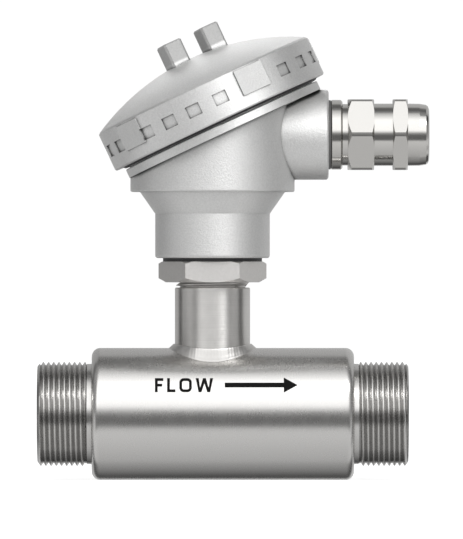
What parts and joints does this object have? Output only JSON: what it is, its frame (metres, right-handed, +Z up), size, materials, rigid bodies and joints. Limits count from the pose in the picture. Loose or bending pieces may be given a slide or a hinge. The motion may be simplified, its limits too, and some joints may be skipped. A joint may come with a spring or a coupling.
{
  "type": "turbine flow meter",
  "caption": "Small threaded turbine flow meter: round steel body with a spinning rotor, a welded pickup stub, and a sloped aluminium terminal head with a screw cover and a cable gland.",
  "frame": {"origin": "centre of the inlet end face, on the flow axis", "axes": "+X downstream along the flow axis, +Z up along the pickup stub to the terminal head, +Y to complete the right-hand frame"},
  "size_m": [0.113, 0.0668, 0.1323],
  "materials": {
    "stainless_bar": "turned and brushed stainless steel",
    "stainless_pipe": "brushed stainless pipe",
    "weld_metal": "bright weld bead",
    "stainless_machined": "machined stainless steel",
    "carbide": "polished tungsten carbide",
    "white_plastic": "natural white plastic",
    "spring_steel": "oiled spring steel",
    "magnetic_steel": "machined magnetic stainless steel",
    "copper": "enamelled copper wire",
    "soft_iron": "plain soft iron",
    "magnet": "sintered magnet",
    "epoxy": "black epoxy",
    "black_rubber": "black rubber",
    "plated_nut": "turned stainless nut",
    "cast_aluminium": "bead-blasted cast aluminium",
    "board_green": "green solder mask",
    "terminal_plastic": "green moulded plastic",
    "plated_brass": "tin plated brass",
    "plated_screw": "zinc plated steel",
    "brass_screw": "brass",
    "chip_black": "black moulded chip",
    "capacitor_sleeve": "dark sleeve with bare top",
    "trimmer_blue": "blue moulded plastic",
    "lead_insulation": "insulated wire",
    "gland_washer": "thin sealing washer",
    "gland_metal": "polished stainless gland"
  },
  "bodies": {
    "meter": {"meter_body": "stainless_bar", "pickup_stub": "stainless_pipe", "weld_bead": "weld_metal", "upstream_straightener": "stainless_machined", "downstream_straightener": "stainless_machined", "upstream_bearing": "carbide", "downstream_bearing": "carbide", "thrust_washers": "white_plastic", "retaining_rings": "spring_steel", "pickup_shell": "stainless_machined", "pickup_bobbin": "white_plastic", "pickup_coil": "copper", "pickup_pole_piece": "soft_iron", "pickup_magnet": "magnet", "pickup_potting": "epoxy", "pickup_retaining_ring": "stainless_machined"},
    "rotor": {"turbine_rotor": "magnetic_steel", "rotor_shaft": "carbide"},
    "neck_seal": {"neck_gasket": "black_rubber"},
    "nut": {"lock_nut": "plated_nut"},
    "head": {"head_housing": "cast_aluminium", "circuit_board": "board_green", "terminal_block": "terminal_plastic", "terminal_clamps": "plated_brass", "terminal_screws": "plated_screw", "board_screws": "plated_screw", "earth_screw": "brass_screw", "amplifier_chip": "chip_black", "smoothing_capacitor": "capacitor_sleeve", "span_trimmer": "trimmer_blue", "pickup_leads": "lead_insulation", "gland_washer": "gland_washer", "gland_body": "gland_metal", "gland_seal": "black_rubber"},
    "cover_seal": {"cover_oring": "black_rubber"},
    "cover": {"head_cover": "cast_aluminium"},
    "slip_ring": {"gland_pressure_ring": "white_plastic"},
    "gland_cap": {"gland_cap_nut": "gland_metal"}
  },
  "joints": [
    {"name": "rotor_spin", "type": "hinge", "parent": "meter", "child": "rotor", "pos_m": [0.0505, 0, 0], "axis": [1, 0, 0], "continuous": true},
    {"name": "gasket_drop", "type": "slide", "parent": "meter", "child": "neck_seal", "axis": [0, 0, 1], "range_m": [-0.0014, 0]},
    {"name": "nut_turn", "type": "hinge", "parent": "neck_seal", "child": "nut", "pos_m": [0.0505, 0, 0.041], "axis": [0, 0, 1], "range_deg": [-277, 0]},
    {"name": "head_swivel", "type": "hinge", "parent": "meter", "child": "head", "pos_m": [0.0505, 0, 0.05], "axis": [0, 0, 1], "range_deg": [-180, 180]},
    {"name": "cover_lift", "type": "slide", "parent": "head", "child": "cover_seal", "axis": [-0.4226, 0, 0.9063], "range_m": [0, 0.01]},
    {"name": "cover_turn", "type": "hinge", "parent": "cover_seal", "child": "cover", "pos_m": [0.04774, 0, 0.09464], "axis": [-0.4226, 0, 0.9063], "range_deg": [0, 1800]},
    {"name": "slip_ring_slide", "type": "slide", "parent": "head", "child": "slip_ring", "axis": [1, 0, 0], "range_m": [0, 0.005]},
    {"name": "cap_turn", "type": "hinge", "parent": "slip_ring", "child": "gland_cap", "pos_m": [0.105, 0, 0.0806], "axis": [1, 0, 0], "range_deg": [0, 1200]}
  ],
  "couplings": [
    {"joint": "gasket_drop", "follows": "nut_turn", "m_per_rad": 0.00028871},
    {"joint": "cover_lift", "follows": "cover_turn", "m_per_rad": 0.0003183},
    {"joint": "slip_ring_slide", "follows": "cap_turn", "m_per_rad": 0.0002387}
  ]
}
